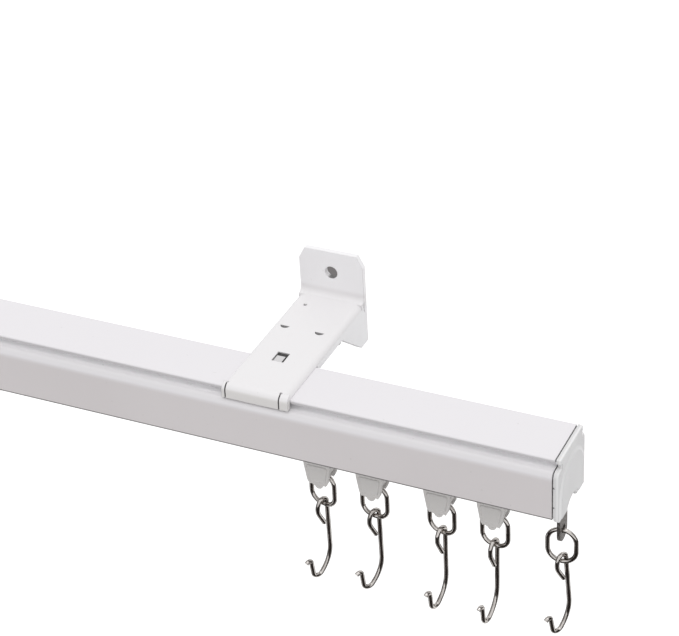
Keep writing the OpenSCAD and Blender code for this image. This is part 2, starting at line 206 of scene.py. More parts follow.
class NodeSheet:
    """The node tree of one material, with one method that adds any node."""

    def __init__(self, tree: bpy.types.NodeTree) -> None:
        """Empties the node tree of a material or of the world and takes it over."""
        tree.nodes.clear()
        self.tree = tree

    def node(
        self,
        kind: str,
        settings: Mapping[str, Any] | None = None,
        inputs: Mapping[str | int, Any] | None = None,
    ) -> bpy.types.Node:
        """Adds a node.

        Args:
            kind: The node's type.
            settings: Its properties, set before its inputs.
            inputs: Values, signals or sockets for its inputs, by name or number.

        Returns:
            The new node.
        """
        made = self.tree.nodes.new(kind)
        for name, value in (settings or {}).items():
            setattr(made, name, value)
        for key, value in (inputs or {}).items():
            self._feed(made.inputs[key], value)
        return made

    def _feed(self, target: bpy.types.NodeSocket, value: Any) -> None:
        """Links or sets one input socket.

        Args:
            target: The input socket.
            value: A signal or an output socket to link, or a plain value to set.
        """
        if isinstance(value, Signal):
            value = value.socket
        if isinstance(value, bpy.types.NodeSocket):
            self.tree.links.new(value, target)
        elif isinstance(value, tuple) and len(value) == 3 and target.type == "RGBA":
            target.default_value = (*value, 1.0)
        else:
            target.default_value = value

    def place(self, stretch: Place = UNIT) -> bpy.types.NodeSocket:
        """The surface's place in the row frame, each axis scaled.

        Args:
            stretch: The factors along X, Y and Z.

        Returns:
            A vector socket.
        """
        coords = self.node("ShaderNodeTexCoord").outputs["Object"]
        if stretch == UNIT:
            return coords
        factors = {0: coords, 1: stretch}
        return self.node("ShaderNodeVectorMath", {"operation": "MULTIPLY"}, factors).outputs[0]

    def axes(self) -> tuple[Signal, Signal, Signal]:
        """The surface's X, Y and Z in the row frame, as three signals."""
        split = self.node("ShaderNodeSeparateXYZ", None, {0: self.place()})
        return tuple(Signal(self, split.outputs[i]) for i in range(3))

    def noise(self, scale: float, detail: float = 2.0, stretch: Place = UNIT) -> Signal:
        """Cloudy noise from 0 to 1.

        Args:
            scale: Features per metre.
            detail: Number of finer layers.
            stretch: Factors on the axes, below 1 for streaks along that axis.

        Returns:
            The noise.
        """
        made = self.node(
            "ShaderNodeTexNoise",
            None,
            {"Vector": self.place(stretch), "Scale": scale, "Detail": detail},
        )
        return Signal(self, made.outputs["Fac"])

    def mix(self, mask: Signal | float, first: Any, second: Any) -> bpy.types.NodeSocket:
        """Blends two colours or colour sockets: a mask of 0 gives the first, 1 the second."""
        # The Mix node's sockets for colours are its inputs 6 and 7 and its output 2.
        made = self.node("ShaderNodeMix", {"data_type": "RGBA"}, {0: mask, 6: first, 7: second})
        return made.outputs[2]

    def soft_edges(self, radius: float) -> tuple[bpy.types.NodeSocket, Signal]:
        """Normals rounded over edges, and a mask of those edges.

        Args:
            radius: The radius of the rounding.

        Returns:
            The rounded normal and a mask, 1 on an edge.
        """
        rounded = self.node("ShaderNodeBevel", {"samples": 6}, {"Radius": radius}).outputs[0]
        true = self.node("ShaderNodeNewGeometry").outputs["Normal"]
        dot = self.node("ShaderNodeVectorMath", {"operation": "DOT_PRODUCT"}, {0: rounded, 1: true})
        return rounded, (1.0 - Signal(self, dot.outputs["Value"])).step(*EDGE_BEND)

    def bump(
        self, height: Signal, distance: float, normal: bpy.types.NodeSocket | None = None
    ) -> bpy.types.NodeSocket:
        """Fine relief.

        Args:
            height: The relief from 0 to 1.
            distance: How high 1 stands.
            normal: The normal that the relief lies on, or None for the mesh's own.

        Returns:
            A normal socket.
        """
        inputs: dict[str | int, Any] = {"Height": height, "Distance": distance, "Strength": 1.0}
        if normal is not None:
            inputs["Normal"] = normal
        return self.node("ShaderNodeBump", None, inputs).outputs[0]

    def finish(self, shader: bpy.types.Node) -> None:
        """Ends the sheet in a shader."""
        self.node("ShaderNodeOutputMaterial", None, {"Surface": shader.outputs[0]})

    def paint(self, inputs: Mapping[str, Any]) -> None:
        """Ends the sheet in a Principled shader with these inputs."""
        self.finish(self.node("ShaderNodeBsdfPrincipled", None, inputs))


@dataclass(frozen=True)
class Gauge:
    """Places that the finishes go by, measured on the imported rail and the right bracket.

    Attributes:
        middle: Y of the rail's middle.
        plate: Height of the rail's top plate.
        underside: Height of the rail's underside.
        end: X of the rail's right end.
        screw: X of the right bracket's screw hole.
        arm_rise: How far the top of a bracket's arm lies above the rail's plate.
    """

    middle: float
    plate: float
    underside: float
    end: float
    screw: float
    arm_rise: float = 0.0018

    @classmethod
    def measured(cls) -> "Gauge":
        """Reads the places off the boxes of the two nodes.

        Returns:
            The gauge.
        """
        rail_low, rail_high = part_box("rail")
        bracket_low, bracket_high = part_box("bracket_right")
        return cls(
            middle=(rail_low.y + rail_high.y) / 2,
            plate=rail_high.z,
            underside=rail_low.z,
            end=rail_high.x,
            screw=(bracket_low.x + bracket_high.x) / 2,
        )

    @property
    def arm(self) -> float:
        """Height of the top of the brackets' arms."""
        return self.plate + self.arm_rise

    def on_brackets(self, *offsets: float) -> tuple[float, ...]:
        """X of places on both brackets, given by their offsets from the screw holes."""
        return tuple(side.sign * self.screw + offset for side in Side for offset in offsets)


@dataclass(frozen=True)
class Finish:
    """What every finish has: the slot that it fills and a base colour."""

    slot: Slot
    tone: Colour

    def make(self) -> bpy.types.Material:
        """Builds the material.

        Returns:
            The material, named like its slot.
        """
        material = bpy.data.materials.new(self.slot.value)
        material.use_nodes = True
        material.diffuse_color = (*self.tone, 1.0)
        self.lay(NodeSheet(material.node_tree))
        return material

    def lay(self, sheet: NodeSheet) -> None:
        """Lays the finish's nodes on an empty sheet."""
        raise NotImplementedError


@dataclass(frozen=True)
class Recess:
    """A cut in the sheet whose inside lies in shade.

    Attributes:
        centres: X of its middles, on both brackets.
        half: Half its width along X.
        near: Y of its edge towards the room.
        far: Y of its edge towards the wall.
        top: Height under which the shade holds.
        depth: How dark the shade is, from 0 to 1.
        fade: Distance over which the shade ends at the sides.
        top_fade: Distance over which it ends at the top.
        tone: Colour of the shade.
    """

    centres: tuple[float, ...]
    half: float
    near: float
    far: float
    top: float
    depth: float = 0.88
    fade: float = 0.00003
    top_fade: float = 0.00004
    tone: Colour = (0.13, 0.125, 0.125)

    def shade(self, sheet: NodeSheet, coat: Any) -> bpy.types.NodeSocket:
        """Lays the shade over a coat.

        Args:
            sheet: The material's node sheet.
            coat: The colour so far.

        Returns:
            The colour with the shade in it.
        """
        x, y, z = sheet.axes()
        across = abs(x - self.centres[0])
        for centre in self.centres[1:]:
            across = across.lower_of(abs(x - centre))
        inside = 1.0 - across.step(self.half, self.half + self.fade)
        along = y.band((self.near - self.fade, self.near), (self.far, self.far + self.fade))
        below = 1.0 - z.step(self.top - self.top_fade, self.top)
        return sheet.mix(inside * along * below * self.depth, coat, self.tone)


@dataclass(frozen=True)
class Zone:
    """A stretch of a part with a painted colour of its own over the coat, used for painted light and
    painted shade.

    Attributes:
        tone: The painted colour there.
        front: Y at which it begins, towards the room.
        back: Y at which it ends, towards the wall.
        top: Height under which it holds.
        blend: Distance over which it fades in.
    """

    tone: Colour
    front: float
    back: float
    top: float
    blend: float = 0.0008

    def shade(self, sheet: NodeSheet, coat: Any) -> bpy.types.NodeSocket:
        """Lays the zone's colour over a coat.

        Args:
            sheet: The material's node sheet.
            coat: The colour so far.

        Returns:
            The colour with the zone in it.
        """
        _, y, z = sheet.axes()
        along = y.band((self.front - self.blend, self.front), (self.back, self.back + self.blend))
        below = 1.0 - z.step(self.top - self.blend, self.top)
        return sheet.mix(along * below, coat, self.tone)


@dataclass(frozen=True)
class Lip:
    """The rail's two lips and grooves, with painted light in the grooves and painted shade on the
    lips' faces and the shoulders.

    Attributes:
        middle: Y of the rail's middle.
        top: Height of the plate's top.
        half: Half the width of the plate over its lips.
        lip_drop: How far the lips' underside lies below the top.
        bed_drop: How far the grooves' beds lie below the top.
        sharp: Half the distance over which a tone ends at a lip's underside.
        blend: Half the distance over which the groove's tone turns into the shoulder's.
        shoulder_fade: How far below the beds the shoulder's tone begins and is full.
        groove_fade: How far below the beds the groove's tone begins and is full.
        face_inset: How far inside the lips' edges the faces' tone begins and is full.
        face_drop: How far below the top the faces' tone is full and ends.
        face_tone: Colour of the painted shade on the lips' front faces.
        groove_tone: Colour of the painted light inside the grooves.
        shoulder_tone: Colour of the painted shade that dims the rounded shoulders outside the lips.
    """

    middle: float
    top: float
    half: float = 0.0095
    lip_drop: float = 0.0014
    bed_drop: float = 0.0032
    sharp: float = 0.0001
    blend: float = 0.0012
    shoulder_fade: Span = (0.0018, 0.0005)
    groove_fade: Span = (0.0004, 0.0001)
    face_inset: Span = (0.0003, 0.0001)
    face_drop: Span = (0.0007, 0.0002)
    face_tone: Colour = (0.60, 0.585, 0.597)
    groove_tone: Colour = (0.985, 0.98, 0.99)
    shoulder_tone: Colour = (0.72, 0.703, 0.72)

    def shade(self, sheet: NodeSheet, coat: Any) -> bpy.types.NodeSocket:
        """Lays the lips' painted light and shade over a coat.

        Args:
            sheet: The material's node sheet.
            coat: The colour so far.

        Returns:
            The colour with the lips' tones in it.
        """
        _, y, z = sheet.axes()
        out = abs(y - self.middle)
        low = self.top - self.lip_drop
        bed = self.top - self.bed_drop
        under = 1.0 - z.step(low - self.sharp, low + self.sharp)
        outside = out.step(self.half - self.blend, self.half + self.blend)
        # Painted shade on the shoulders, painted light in the grooves and painted shade on the lips'
        # front faces.
        shoulder = under * outside * z.step(*(bed - fade for fade in self.shoulder_fade))
        coat = sheet.mix(shoulder, coat, self.shoulder_tone)
        groove = under * (1.0 - outside) * z.step(*(bed - fade for fade in self.groove_fade))
        coat = sheet.mix(groove, coat, self.groove_tone)
        face = out.step(*(self.half - inset for inset in self.face_inset)) * (1.0 - under)
        below = 1.0 - z.step(*(self.top - drop for drop in self.face_drop))
        return sheet.mix(face * below, coat, self.face_tone)


@dataclass(frozen=True)
class CapFace:
    """An end cap's arched field and rounded edge with painted highlights, and the joint behind it.

    Attributes:
        joint: X at which the set-back rim behind the face ends.
        centre: Y and Z of the middle of the field's arch.
        radius: Radius of the arch.
        ridge_in: Distances from the arch between which its ridge fades in.
        ridge_out: Distances from the arch between which the ridge fades out.
        ridge_share: How much paler the ridge is at the arch's sides, from 0 to 1.
        crown: Heights above the centre between which the ridge fades.
        crown_loss: How much less pale the ridge is at the crown.
        band_in: Distances outside the joint between which the edge's band fades in.
        band_out: Distances outside the joint between which the band fades out.
        band_share: How much paler the band is, from 0 to 1.
        joint_fade: Distance over which the joint's shade ends.
        joint_depth: How dark the joint is, from 0 to 1.
        joint_tone: Colour in the joint.
    """

    joint: float
    centre: tuple[float, float]
    radius: float = 0.0104
    ridge_in: Span = (-0.0010, -0.0003)
    ridge_out: Span = (0.0002, 0.0009)
    ridge_share: float = 0.85
    crown: Span = (0.0033, 0.0098)
    crown_loss: float = 0.5
    band_in: Span = (0.0006, 0.0011)
    band_out: Span = (0.0012, 0.0014)
    band_share: float = 0.9
    joint_fade: float = 0.0001
    joint_depth: float = 0.85
    joint_tone: Colour = (0.05, 0.048, 0.047)

    def shade(self, sheet: NodeSheet, body: Any, pale: Colour) -> bpy.types.NodeSocket:
        """Lays the painted highlights on the ridge and the band, and the dark joint, over a plastic.

        Args:
            sheet: The material's node sheet.
            body: The colour so far.
            pale: The colour of the painted highlights.

        Returns:
            The colour with the three in it.
        """
        x, y, z = sheet.axes()
        across = y - self.centre[0]
        up = (z - self.centre[1]).at_least(0.0)
        from_arch = (across * across + up * up).root() - self.radius
        # Painted highlight along the arch's ridge, fainter towards the crown.
        ridge = from_arch.band(self.ridge_in, self.ridge_out)
        share = self.ridge_share - self.crown_loss * up.step(*self.crown)
        body = sheet.mix(ridge * share, body, pale)
        beyond = abs(x) - self.joint
        # Painted highlight on the rounded edge of the face.
        band = beyond.band(self.band_in, self.band_out)
        body = sheet.mix(band * self.band_share, body, pale)
        behind = 1.0 - beyond.step(-self.joint_fade, 0.0)
        return sheet.mix(behind * self.joint_depth, body, self.joint_tone)


@dataclass(frozen=True)
class ScrewHole:
    """The right bracket's screw hole, of which the photograph shows the inside in shade.

    Attributes:
        middle: X of its middle; its height is 0.
        radius: Its radius.
        lit: Distances from the middle between which the shade takes over from the light.
        depth: How dark the shade is, from 0 to 1.
        sharp: Half the distance over which the shade ends at the rim.
        tone: Colour of the shade.
    """

    middle: float
    radius: float = 0.00217
    lit: Span = (-0.0016, -0.0006)
    depth: float = 0.9
    sharp: float = 0.00001
    tone: Colour = (0.16, 0.155, 0.155)

    def shade(self, sheet: NodeSheet, coat: Any) -> bpy.types.NodeSocket:
        """Lays the shade over a coat.

        Args:
            sheet: The material's node sheet.
            coat: The colour so far.

        Returns:
            The colour with the shade in it.
        """
        x, _, z = sheet.axes()
        across = x - self.middle
        out = (across * across + z * z).root()
        inside = 1.0 - out.step(self.radius - self.sharp, self.radius + self.sharp)
        return sheet.mix(inside * across.step(*self.lit) * self.depth, coat, self.tone)


@dataclass(frozen=True)
class Enamel(Finish):
    """Stove enamel on steel: slight orange peel, roll lines, softened edges, a few specks, and painted
    light and shade laid by place.

    Attributes:
        wall_tone: Colour of the part below wall_top, painted darker as painted shade.
        wall_top: Height under which the wall tone holds.
        wall_fade: How far below and above wall_top the tones blend.
        foot: Height of the rolled lower edge, below which painted shade darkens the coat.
        foot_fade: Distance over which the painted shade ends.
        lip: The lips and grooves, with their painted light and shade.
        zones: Stretches with painted light and shade of their own.
        shades: The screw hole and the cuts whose inside lies in shade.
        roughness: Mean roughness.
        lines: Strength of the rolling lines along X.
        foot_shade_tone: Colour of the painted shade at the foot.
        wear_and_highlight_tone: Pale colour towards which the random clouds turn, and the edges as
            wear and painted highlight.
        speck_tone: Colour of the specks.
    """

    wall_tone: Colour
    wall_top: float
    wall_fade: Span = (0.0012, 0.0008)
    foot: float = -1.0
    foot_fade: float = 0.0002
    lip: Lip | None = None
    zones: tuple[Zone, ...] = ()
    shades: tuple[ScrewHole | Recess, ...] = ()
    roughness: float = 0.36
    lines: float = 0.0
    foot_shade_tone: Colour = (0.12, 0.11, 0.11)
    wear_and_highlight_tone: Colour = (0.93, 0.93, 0.94)
    speck_tone: Colour = (0.46, 0.44, 0.42)

    def lay(self, sheet: NodeSheet) -> None:
        """Lays the coat with its painted light and shade, its wear and its relief.

        Args:
            sheet: The material's node sheet.
        """
        cloud = sheet.noise(scale=22.0, detail=3.0).step(0.3, 0.75)
        peel = sheet.noise(scale=1150.0, detail=1.0)
        streaks = sheet.noise(scale=2600.0, stretch=(0.012, 1.0, 1.0))
        normal, edge = sheet.soft_edges(radius=0.00035)
        relief = peel * 0.75 + streaks * self.lines
        coat = self._coat(sheet, cloud, edge)
        for shade in self.shades:
            coat = shade.shade(sheet, coat)
        sheet.paint(
            {
                "Base Color": coat,
                "Roughness": self.roughness + 0.10 * cloud + 0.06 * streaks,
                "IOR": 1.5,
                "Coat Weight": 0.15,
                "Coat Roughness": 0.22,
                "Normal": sheet.bump(relief, 0.000012, normal),
            }
        )

    def _coat(self, sheet: NodeSheet, cloud: Signal, edge: Signal) -> bpy.types.NodeSocket:
        """Lays the coat with painted light and shade by its place on the part, and then its wear and
        painted edge highlight.

        Args:
            sheet: The material's node sheet.
            cloud: The mask of the clouds.
            edge: The mask of the edges.

        Returns:
            The colour.
        """
        _, _, z = sheet.axes()
        # Painted shade: the part below wall_top is darker.
        wall = 1.0 - z.step(self.wall_top - self.wall_fade[0], self.wall_top + self.wall_fade[1])
        foot = 1.0 - z.step(self.foot, self.foot + self.foot_fade)
        speck = sheet.noise(scale=900.0, detail=0.0).step(0.84, 0.88)
        coat = self.tone if self.lip is None else self.lip.shade(sheet, self.tone)
        coat = sheet.mix(wall, coat, self.wall_tone)
        for zone in self.zones:
            coat = zone.shade(sheet, coat)
        # Painted shade along the lower edge, below the foot.
        coat = sheet.mix(foot * 0.95, coat, self.foot_shade_tone)
        paler = sheet.mix(0.5, coat, self.wear_and_highlight_tone)
        coat = sheet.mix(cloud * 0.10, coat, paler)
        # The edges turn paler, partly as wear and partly as painted highlight.
        coat = sheet.mix(edge * 0.35, coat, paler)
        return sheet.mix(speck * 0.2, coat, self.speck_tone)


@dataclass(frozen=True)
class MouldedPlastic(Finish):
    """Injection-moulded plastic: fine spark-eroded grain, faint flow marks, rounded edges with a
    painted highlight.

    Attributes:
        roughness: Mean roughness.
        grain: Height of the grain.
        edge_radius: Radius of the rounding on edges.
        edge_share: How much of the pale tone the edges take as painted highlight, from 0 to 1.
        edge_lift: How much paler than the base the pale tone is, as a factor.
        face: The cap's face, or None on other parts.
    """

    roughness: float = 0.42
    grain: float = 0.000008
    edge_radius: float = 0.0003
    edge_share: float = 0.3
    edge_lift: float = 1.07
    face: CapFace | None = None

    def lay(self, sheet: NodeSheet) -> None:
        """Lays the plastic, the painted highlight on its edges and its grain.

        Args:
            sheet: The material's node sheet.
        """
        flow = sheet.noise(scale=75.0, stretch=(1.0, 1.0, 0.35)).step(0.3, 0.7)
        grain = sheet.noise(scale=2800.0, detail=1.0)
        normal, edge = sheet.soft_edges(self.edge_radius)
        pale = scaled(self.tone, self.edge_lift)
        body = sheet.mix(flow * 0.5, self.tone, scaled(self.tone, 0.93))
        # Painted highlight on the edges.
        body = sheet.mix(edge * self.edge_share, body, pale)
        if self.face is not None:
            body = self.face.shade(sheet, body, pale)
        sheet.paint(
            {
                "Base Color": body,
                "Roughness": self.roughness + 0.1 * flow,
                "IOR": 1.49,
                "Subsurface Weight": 0.06,
                "Subsurface Radius": (0.0012, 0.0011, 0.001),
                "Subsurface Scale": 1.0,
                "Normal": sheet.bump(grain, self.grain, normal),
            }
        )


@dataclass(frozen=True)
class BrightWire(Finish):
    """Bright-drawn nickelled wire: dark and light patches, fine die marks, small scuffs.

    Attributes:
        dark_tone: Colour of the dark patches.
        scuff_tone: Colour of the scuffs.
        glance_tone: Tint of what the wire reflects at a low angle.
    """

    dark_tone: Colour = (0.15, 0.13, 0.12)
    scuff_tone: Colour = (0.80, 0.77, 0.74)
    glance_tone: Colour = (0.28, 0.26, 0.245)

    def lay(self, sheet: NodeSheet) -> None:
        """Lays the metal, its patches and its marks.

        Args:
            sheet: The material's node sheet.
        """
        patch = sheet.noise(scale=170.0).step(0.42, 0.70)
        marks = sheet.noise(scale=700.0, detail=1.0, stretch=(1.0, 1.0, 0.15))
        scuff = sheet.noise(scale=900.0).step(0.66, 0.74)
        metal = sheet.mix(patch * 0.55, self.tone, self.dark_tone)
        metal = sheet.mix(scuff * 0.25, metal, self.scuff_tone)
        sheet.paint(
            {
                "Base Color": metal,
                "Metallic": 1.0,
                "Specular Tint": self.glance_tone,
                "Roughness": 0.11 + 0.07 * patch + 0.06 * scuff,
                "Normal": sheet.bump(marks, 0.00004),
            }
        )


@dataclass(frozen=True)
class BareSteel(Finish):
    """Sheared mill steel: dull grey with a pitted, speckled skin.

    Attributes:
        speckle_tone: Colour of the speckles.
        patch_tone: Colour of the patches.
        edge_tone: Colour of the sheared edges.
    """

    speckle_tone: Colour = (0.36, 0.34, 0.325)
    patch_tone: Colour = (0.11, 0.098, 0.09)
    edge_tone: Colour = (0.6, 0.58, 0.56)

    def lay(self, sheet: NodeSheet) -> None:
        """Lays the steel, its speckles and its edges.

        Args:
            sheet: The material's node sheet.
        """
        speckle = sheet.noise(scale=1500.0, detail=3.0)
        patch = sheet.noise(scale=220.0).step(0.35, 0.7)
        normal, edge = sheet.soft_edges(radius=0.00015)
        skin = sheet.mix(speckle.step(0.40, 0.68), self.tone, self.speckle_tone)
        skin = sheet.mix(patch * 0.4, skin, self.patch_tone)
        skin = sheet.mix(edge * 0.5, skin, self.edge_tone)
        sheet.paint(
            {
                "Base Color": skin,
                "Metallic": 0.85,
                "Roughness": 0.42 + 0.2 * speckle,
                "Normal": sheet.bump(speckle, 0.00003, normal),
            }
        )


@dataclass(frozen=True)
class ZincPlate(Finish):
    """Passivated zinc on pressed steel: pale, soft sheen, faint clouding.

    Attributes:
        edge_tone: Colour of the rubbed edges.
    """

    edge_tone: Colour = (0.9, 0.9, 0.9)

    def lay(self, sheet: NodeSheet) -> None:
        """Lays the zinc, its clouds and its edges.

        Args:
            sheet: The material's node sheet.
        """
        cloud = sheet.noise(scale=160.0, detail=3.0).step(0.3, 0.7)
        grain = sheet.noise(scale=2100.0, stretch=(1.0, 0.15, 1.0))
        normal, edge = sheet.soft_edges(radius=0.0002)
        skin = sheet.mix(cloud * 0.6, self.tone, scaled(self.tone, 0.86))
        skin = sheet.mix(edge * 0.4, skin, self.edge_tone)
        sheet.paint(
            {
                "Base Color": skin,
                "Metallic": 0.7,
                "Roughness": 0.34 + 0.15 * cloud,
                "Normal": sheet.bump(grain, 0.00001, normal),
            }
        )


class Paintshop:
    """Makes each finish once and puts it on nodes and pieces."""

    def __init__(self, gauge: Gauge) -> None:
        """Makes the eight finishes.

        Args:
            gauge: The places that the finishes go by.
        """
        finishes: tuple[Finish, ...] = (
            self._rail_enamel(gauge),
            self._bracket_enamel(gauge),
            ZincPlate(Slot.CLAMP, tone=(0.72, 0.72, 0.71)),
            self._cap_plastic(gauge),
            BareSteel(Slot.STEEL, tone=(0.15, 0.137, 0.128)),
            BrightWire(Slot.WIRE, tone=(0.63, 0.60, 0.575)),
            MouldedPlastic(Slot.WHEEL, tone=(0.78, 0.78, 0.76), roughness=0.38),
            MouldedPlastic(Slot.RUNNER, tone=(0.655, 0.635, 0.622), roughness=0.45),
        )
        self.materials = {finish.slot: finish.make() for finish in finishes}

    @staticmethod
    def _rail_enamel(gauge: Gauge) -> Enamel:
        """Plans the rail's enamel, with shade under the brackets' windows.

        Args:
            gauge: The places that it goes by.

        Returns:
            The finish.
        """
        centres = gauge.on_brackets(WINDOW_SHIFT)
        top = gauge.plate + 0.0001
        under_window = Recess(centres, half=0.00200, near=-0.04175, far=-0.03665, top=top)
        return Enamel(
            Slot.RAIL,
            tone=(0.81, 0.79, 0.815),
            # Painted shade: the rail's walls are darker and warmer than its top.
            wall_tone=(0.695, 0.658, 0.665),
            wall_top=gauge.plate - 0.0054,
            foot=gauge.underside + 0.0007,
            # Painted light and shade on the lips and grooves.
            lip=Lip(gauge.middle, gauge.plate),
            shades=(under_window,),
            lines=0.5,
        )

    @staticmethod
    def _bracket_enamel(gauge: Gauge) -> Enamel:
        """Plans the brackets' enamel, with shade in the hole and in the cuts of the arm.

        Args:
            gauge: The places that it goes by.

        Returns:
            The finish.
        """
        skin = gauge.arm - 0.00006
        centres = gauge.on_brackets(WINDOW_SHIFT)
        window = Recess(centres, half=0.00203, near=-0.04178, far=-0.03662, top=skin, depth=0.25)
        window_bottom = replace(window, top=gauge.arm - 0.0004, depth=0.88)
        centres = gauge.on_brackets(ARM_SHIFT - LANCE_OUT, ARM_SHIFT + LANCE_OUT)
        lances = Recess(centres, half=0.00165, near=-0.0241, far=-0.02255, top=skin, depth=0.5)
        centres = gauge.on_brackets(ARM_SHIFT - SLOT_OUT, ARM_SHIFT + SLOT_OUT)
        claw_slots = Recess(centres, half=0.0002, near=-0.0640, far=-0.0565, top=skin)
        centres = gauge.on_brackets(PIP_SHIFT)
        pip = Recess(centres, half=0.0005, near=-0.0097, far=-0.0088, top=skin, depth=0.6)
        # Painted light on the arm's sides and on the plate below the arm.
        arm_side_light = Zone((0.90, 0.895, 0.91), front=-0.0500, back=0.0100, top=gauge.arm - 0.0014)
        # Painted shade on the claw.
        claw = Zone((0.755, 0.735, 0.725), front=-0.0620, back=-0.0573, top=gauge.arm - 0.0011)
        return Enamel(
            Slot.BRACKET,
            tone=(0.92, 0.91, 0.925),
            # Painted shade: the arm and claw below wall_top are darker than the upturned plate.
            wall_tone=(0.83, 0.815, 0.825),
            wall_top=gauge.arm + 0.0030,
            zones=(arm_side_light, claw),
            shades=(ScrewHole(gauge.screw), window, window_bottom, lances, claw_slots, pip),
            roughness=0.33,
        )

    @staticmethod
    def _cap_plastic(gauge: Gauge) -> MouldedPlastic:
        """Plans the end caps' plastic, with painted highlights on its edges and a dark joint.

        Args:
            gauge: The places that it goes by.

        Returns:
            The finish.
        """
        return MouldedPlastic(
            Slot.CAP,
            tone=(0.74, 0.735, 0.74),
            edge_share=0.85,
            edge_lift=1.22,
            face=CapFace(gauge.end + 0.00045, (gauge.middle, gauge.underside + 0.0063)),
        )

    def coat(self, thing: bpy.types.Object, slot: Slot) -> None:
        """Puts the finish of a slot on a CAD node's object or on a new piece."""
        thing.data.materials.clear()
        thing.data.materials.append(self.materials[slot])

    def dress(self, slots: Mapping[str, Slot]) -> None:
        """Puts finishes on CAD nodes and reports each one.

        Args:
            slots: The slot of each node, by the node's name.
        """
        for node, slot in slots.items():
            self.coat(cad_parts[node], slot)
            log.info("%s is dressed in %s", node, slot.value)


def add_piece(name: str, shape: bmesh.types.BMesh, body: str) -> bpy.types.Object:
    """Turns a built mesh into a named, smooth piece that rides on a body.

    Args:
        name: The piece's name.
        shape: Its mesh, in the row frame; it is freed here.
        body: The CAD body that it moves with.

    Returns:
        The piece.
    """
    mesh = bpy.data.meshes.new(name)
    bmesh.ops.recalc_face_normals(shape, faces=shape.faces)
    shape.to_mesh(mesh)
    shape.free()
    mesh.shade_smooth()
    piece = bpy.data.objects.new(name, mesh)
    bpy.context.scene.collection.objects.link(piece)
    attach(piece, body)
    log.info("%s rides on %s", name, body)
    return piece


def rounded_outline(corners: Sequence[tuple[float, float]], radius: float) -> list[Vector]:
    """Rounds the corners of a flat outline.

    Args:
        corners: The outline's corners in order, anticlockwise.
        radius: The radius of its corners.

    Returns:
        Points round the outline.
    """
    points: list[Vector] = []
    count = len(corners)
    for i in range(count):
        here = Vector(corners[i])
        before = (Vector(corners[i - 1]) - here).normalized()
        after = (Vector(corners[(i + 1) % count]) - here).normalized()
        half = before.angle(after) / 2
        run = radius / math.tan(half)
        centre = here + (before + after).normalized() * (radius / math.sin(half))
        first, last = here + before * run - centre, here + after * run - centre
        sweep = first.angle_signed(last)
        for k in range(CORNER_STEPS + 1):
            turn = -sweep * k / CORNER_STEPS
            c, d = math.cos(turn), math.sin(turn)
            points.append(centre + Vector((first.x * c - first.y * d, first.x * d + first.y * c)))
    return points


def add_plate(
    shape: bmesh.types.BMesh,
    outline: Sequence[Vector],
    place: Matrix,
    thickness: float,
    slope: float,
) -> None:
    """Adds a low plate with a sloped and softened rim.

    Args:
        shape: The mesh that gets it.
        outline: Points round its foot.
        place: Takes outline coordinates, with Z outwards, into the row frame.
        thickness: How far it stands out.
        slope: How far its rim leans in.
    """
    middle = sum(outline, Vector((0, 0))) / len(outline)
    rings = []
    for inward, rise in PAD_PROFILE:
        ring = []
        for point in outline:
            flat = point + (middle - point).normalized() * (slope * inward)
            ring.append(shape.verts.new(place @ Vector((flat.x, flat.y, thickness * rise))))
        rings.append(ring)
    count = len(outline)
    for low, high in zip(rings, rings[1:]):
        for i in range(count):
            j = (i + 1) % count
            shape.faces.new((low[i], low[j], high[j], high[i]))
    shape.faces.new(rings[-1])
    shape.faces.new(list(reversed(rings[0])))


@dataclass
class Rail:
    """The roll-formed steel channel.

    Attributes:
        node: Its CAD node.
    """

    node: str = "rail"

    def dress(self, shop: Paintshop) -> None:
        """Enamels the rail."""
        shop.dress({self.node: Slot.RAIL})


@dataclass
class WallBracket:
    """A pressed bracket with its clamp.

    Attributes:
        side: The end of the rail that it holds.
    """

    side: Side

    def dress(self, shop: Paintshop) -> None:
        """Enamels the bracket and plates the clamp."""
        parts = {"bracket": Slot.BRACKET, "clamp": Slot.CLAMP}
        shop.dress({f"{part}_{self.side.value}": slot for part, slot in parts.items()})


@dataclass
class EndStop:
    """An end cap with its steel tab, ring and hook.

    Attributes:
        side: The end of the rail that it closes.
    """

    side: Side

    def dress(self, shop: Paintshop) -> None:
        """Puts plastic, bare steel and wire on the end's parts."""
        parts = {"cap": Slot.CAP, "tab": Slot.STEEL, "ring": Slot.WIRE, "hook": Slot.WIRE}
        shop.dress({f"end_{part}_{self.side.value}": slot for part, slot in parts.items()})


